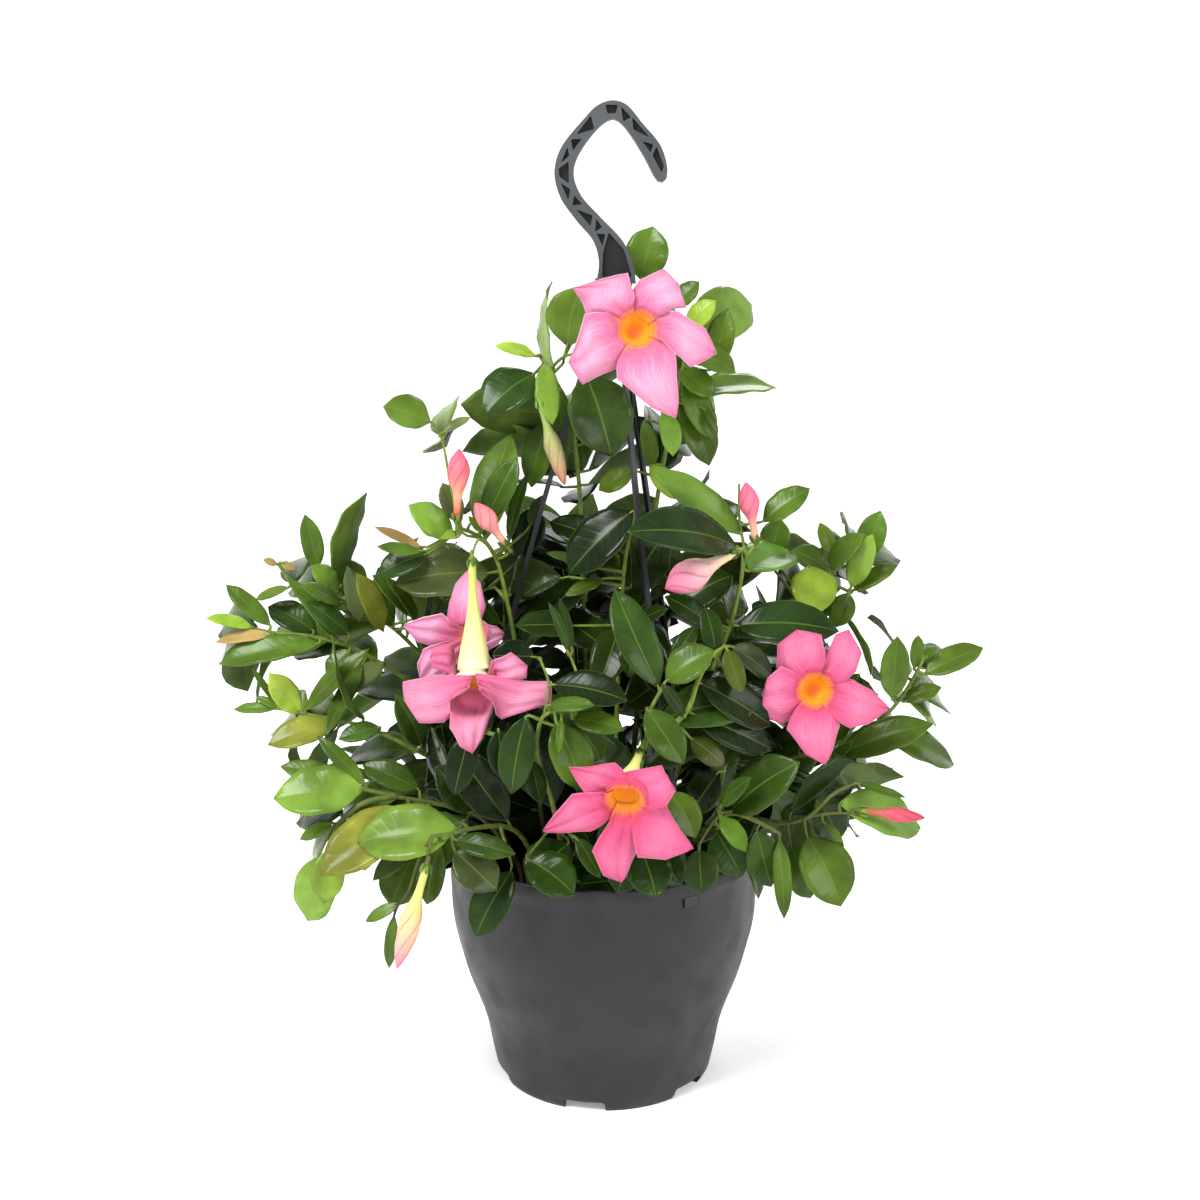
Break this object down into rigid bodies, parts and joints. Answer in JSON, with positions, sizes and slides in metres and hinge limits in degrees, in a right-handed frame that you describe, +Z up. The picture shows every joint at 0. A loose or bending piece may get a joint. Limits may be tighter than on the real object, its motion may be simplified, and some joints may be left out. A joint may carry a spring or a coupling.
{
  "type": "flowering climbing plant in a hanging pot",
  "caption": "Climbing plant with trumpet blooms, buds and glossy leaves, in a round tapered pot whose clip-on hanger has long legs and a hook on top.",
  "frame": {"origin": "middle of the bounding box in plan, on the plane that the pot's foot stands on", "axes": "+Z up through the hanger and its hook, -Y towards the side that shows most blooms, +X to that side's right"},
  "size_m": [0.4276, 0.2672, 0.544],
  "materials": {
    "pot": "moulded matte plastic, dark grey, with faint turning lines",
    "soil": "rough crumbly potting compost, dark brown",
    "hanger": "moulded satin plastic, mid grey on the flanges and near black in the pockets",
    "leaf": "glossy dark green leaves with pale veins, matte and lighter below, young ones yellow-green",
    "petal": "soft matte petals, pink, light at the edge, orange in the throat"
  },
  "bodies": {
    "root": {"pot": "pot", "soil": "soil", "hanger": "hanger", "bloom_top": "petal", "bloom_left_hanging": "petal", "bloom_left_behind": "petal", "bloom_right": "petal", "bloom_front": "petal", "bud_left_upright": "petal", "bud_left_leaning": "petal", "bud_right_fat": "petal", "bud_right_upright": "petal", "bud_hanging": "petal", "bud_right_long": "petal", "bud_faded": "petal", "vine_spire_left": "leaf", "vine_spire_right": "leaf", "vine_sprig": "leaf", "vine_long_left": "leaf", "vine_left_upper": "leaf", "vine_left_lower": "leaf", "vine_left_low": "leaf", "vine_left_trailing": "leaf", "vine_front_left": "leaf", "vine_front_centre": "leaf", "vine_centre": "leaf", "vine_bud_stem": "leaf", "vine_right_upper": "leaf", "vine_right": "leaf", "vine_right_low": "leaf", "vine_front_right": "leaf", "vine_inner_left": "leaf", "vine_inner_right": "leaf", "vine_back_left": "leaf", "vine_back": "leaf", "vine_back_right": "leaf", "vine_back_low_left": "leaf", "vine_back_low_right": "leaf"}
  },
  "joints": []
}
